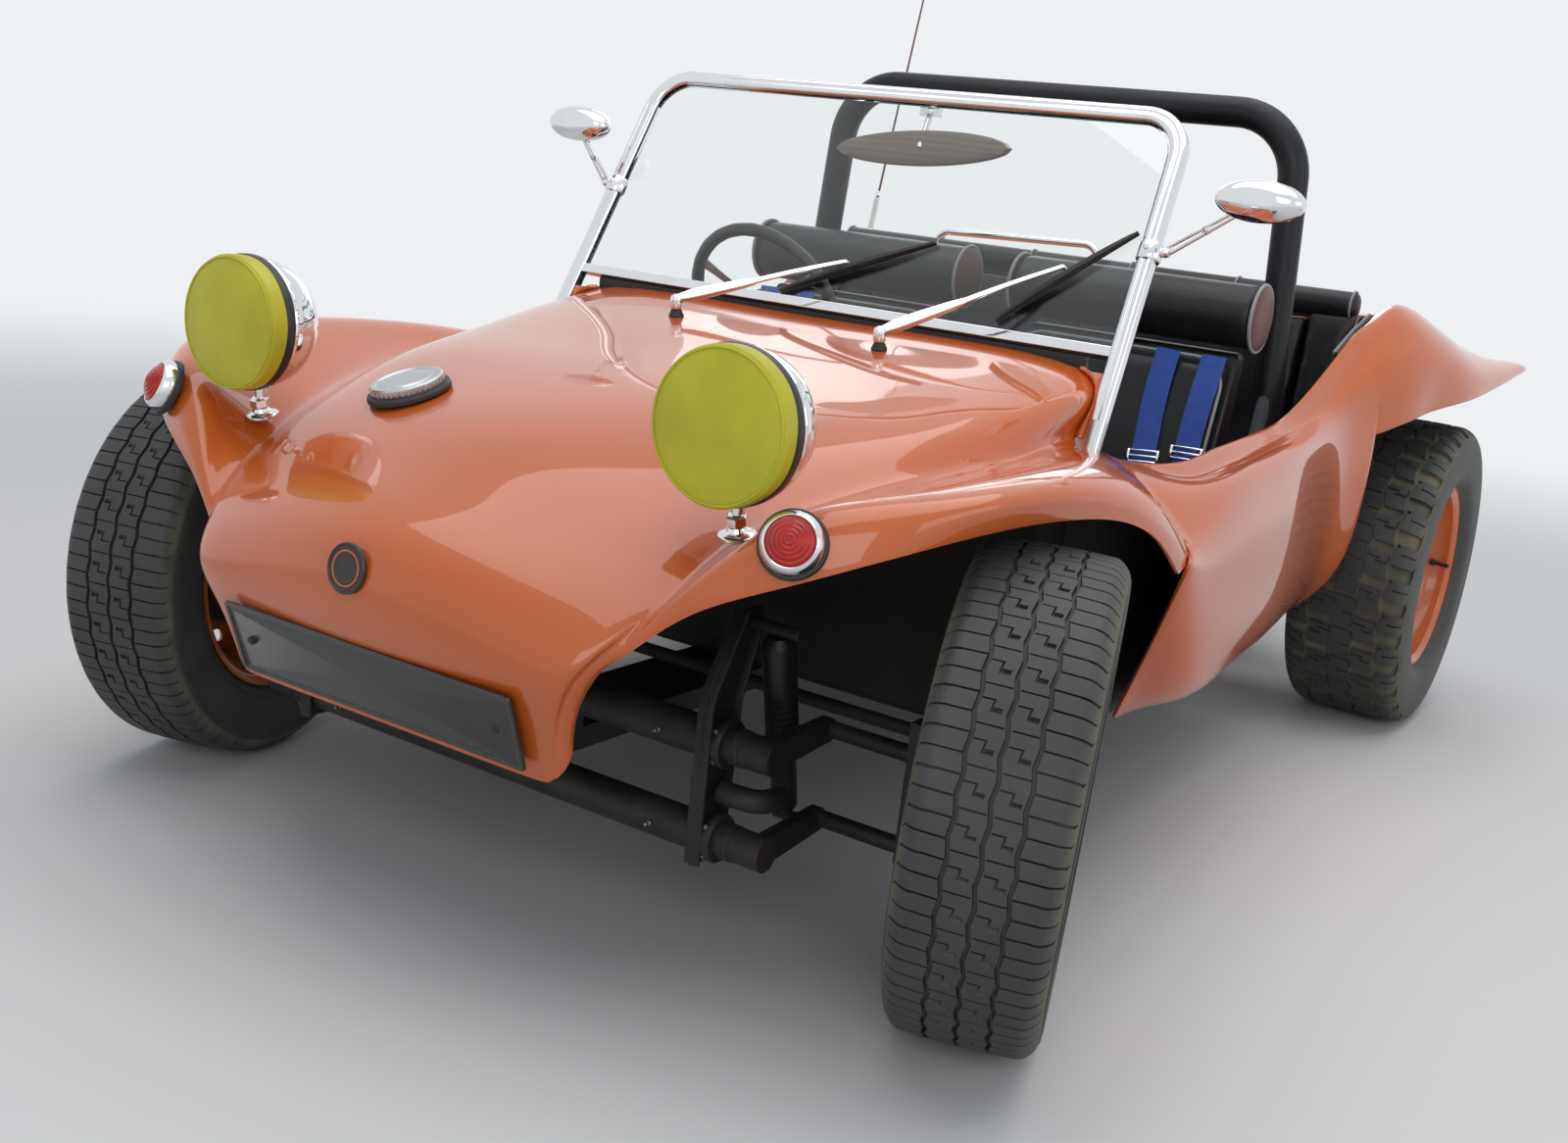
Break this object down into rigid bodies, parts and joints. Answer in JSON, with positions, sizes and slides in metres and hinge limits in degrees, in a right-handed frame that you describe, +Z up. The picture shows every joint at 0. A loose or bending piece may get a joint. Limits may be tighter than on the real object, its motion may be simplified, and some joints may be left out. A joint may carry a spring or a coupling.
{
  "type": "dune buggy",
  "caption": "Open two-plus-two dune buggy with free-rolling wheels, linked steering, flat windscreen, roll hoop, covered lamps and an open rear engine.",
  "frame": {"origin": "on the ground, at the centre of the car's bounding box in plan, on the car's centre plane", "axes": "+X forward towards the nose, +Y to the car's left, +Z up"},
  "size_m": [3.1789, 1.8062, 1.8393],
  "materials": {
    "orange_gloss": "deep gloss orange gelcoat",
    "orange_steel": "gloss orange painted steel",
    "black_chassis": "satin black underseal and paint",
    "black_tube": "semi-gloss black paint",
    "black_vinyl": "padded black vinyl with grey piping",
    "belt_blue": "woven blue webbing with chrome adjusters",
    "tyre_rubber": "worn black rubber",
    "rubber": "black rubber",
    "chrome": "polished chrome",
    "aluminium": "cast and sheet aluminium",
    "iron": "dark cast iron",
    "steel": "bare steel",
    "glass": "clear flat glass",
    "cover_yellow": "yellow vinyl lamp cover with a black edge band",
    "lens_red": "ribbed red lens in a chrome bezel",
    "plate_black": "blank black plate",
    "badge": "dark round badge, bare",
    "wood": "varnished brown mirror back",
    "plastic_black": "black plastic"
  },
  "bodies": {
    "chassis": {"front_body": "orange_gloss", "side_panels": "orange_gloss", "rear_body": "orange_gloss", "floor_pan": "black_chassis", "front_beam": "black_chassis", "front_links": "black_chassis", "steering_gear": "black_tube", "rear_axle": "black_chassis", "shock_absorbers": "black_tube", "transaxle": "aluminium", "engine_case": "aluminium", "cylinder_banks": "iron", "fan_shroud": "black_tube", "generator": "steel", "carburettor": "aluminium", "exhaust": "steel", "windscreen_frame": "chrome", "windscreen_glass": "glass", "windscreen_seal": "rubber", "dashboard": "black_vinyl", "wipers": "chrome", "roll_bar": "black_tube", "front_seats": "black_vinyl", "rear_seat": "black_vinyl", "harness_belts": "belt_blue", "headlamps": "chrome", "lamp_covers": "cover_yellow", "side_lamps": "lens_red", "tail_lamps": "lens_red", "number_plates": "plate_black", "filler_cap": "aluminium", "nose_badge": "badge", "rear_rail": "chrome", "side_mirrors": "chrome", "interior_mirror": "wood", "whip_antenna": "plastic_black"},
    "knuckle_l": {"knuckle_left": "iron"},
    "knuckle_r": {"knuckle_right": "iron"},
    "track_link": {"track_rod": "black_chassis"},
    "hand_wheel": {"steering_wheel": "plastic_black"},
    "wheel_fl": {"tyre_front_left": "tyre_rubber", "rim_front_left": "orange_steel"},
    "wheel_fr": {"tyre_front_right": "tyre_rubber", "rim_front_right": "orange_steel"},
    "wheel_rl": {"tyre_rear_left": "tyre_rubber", "rim_rear_left": "orange_steel"},
    "wheel_rr": {"tyre_rear_right": "tyre_rubber", "rim_rear_right": "orange_steel"}
  },
  "joints": [
    {"name": "steer_left", "type": "hinge", "parent": "chassis", "child": "knuckle_l", "pos_m": [1.127, 0.648, 0.32627], "axis": [0, 0, 1], "range_deg": [-48.8, 11.2]},
    {"name": "steer_right", "type": "hinge", "parent": "chassis", "child": "knuckle_r", "pos_m": [1.127, -0.648, 0.32627], "axis": [0, 0, 1], "range_deg": [-48.8, 11.2]},
    {"name": "track_rod_shift", "type": "slide", "parent": "chassis", "child": "track_link", "axis": [0, 1, 0], "range_m": [-0.0247, 0.1075]},
    {"name": "steering_wheel_turn", "type": "hinge", "parent": "chassis", "child": "hand_wheel", "pos_m": [0.247, -0.3, 0.815], "axis": [-0.8988, 0, 0.4384], "range_deg": [-684, 157]},
    {"name": "spin_front_left", "type": "hinge", "parent": "knuckle_l", "child": "wheel_fl", "pos_m": [1.1009, 0.72468, 0.32627], "axis": [-0.3221, 0.9463, -0.0279], "continuous": true},
    {"name": "spin_front_right", "type": "hinge", "parent": "knuckle_r", "child": "wheel_fr", "pos_m": [1.14742, -0.72638, 0.32627], "axis": [0.252, -0.9673, -0.0279], "continuous": true},
    {"name": "spin_rear_left", "type": "hinge", "parent": "chassis", "child": "wheel_rl", "pos_m": [-0.937, 0.714, 0.346], "axis": [0, 1, 0], "continuous": true},
    {"name": "spin_rear_right", "type": "hinge", "parent": "chassis", "child": "wheel_rr", "pos_m": [-0.937, -0.714, 0.346], "axis": [0, -1, 0], "continuous": true}
  ],
  "couplings": [
    {"joint": "steer_right", "follows": "steer_left", "ratio": 1},
    {"joint": "track_rod_shift", "follows": "steer_left", "m_per_rad": -0.126},
    {"joint": "steering_wheel_turn", "follows": "steer_left", "ratio": 14}
  ]
}
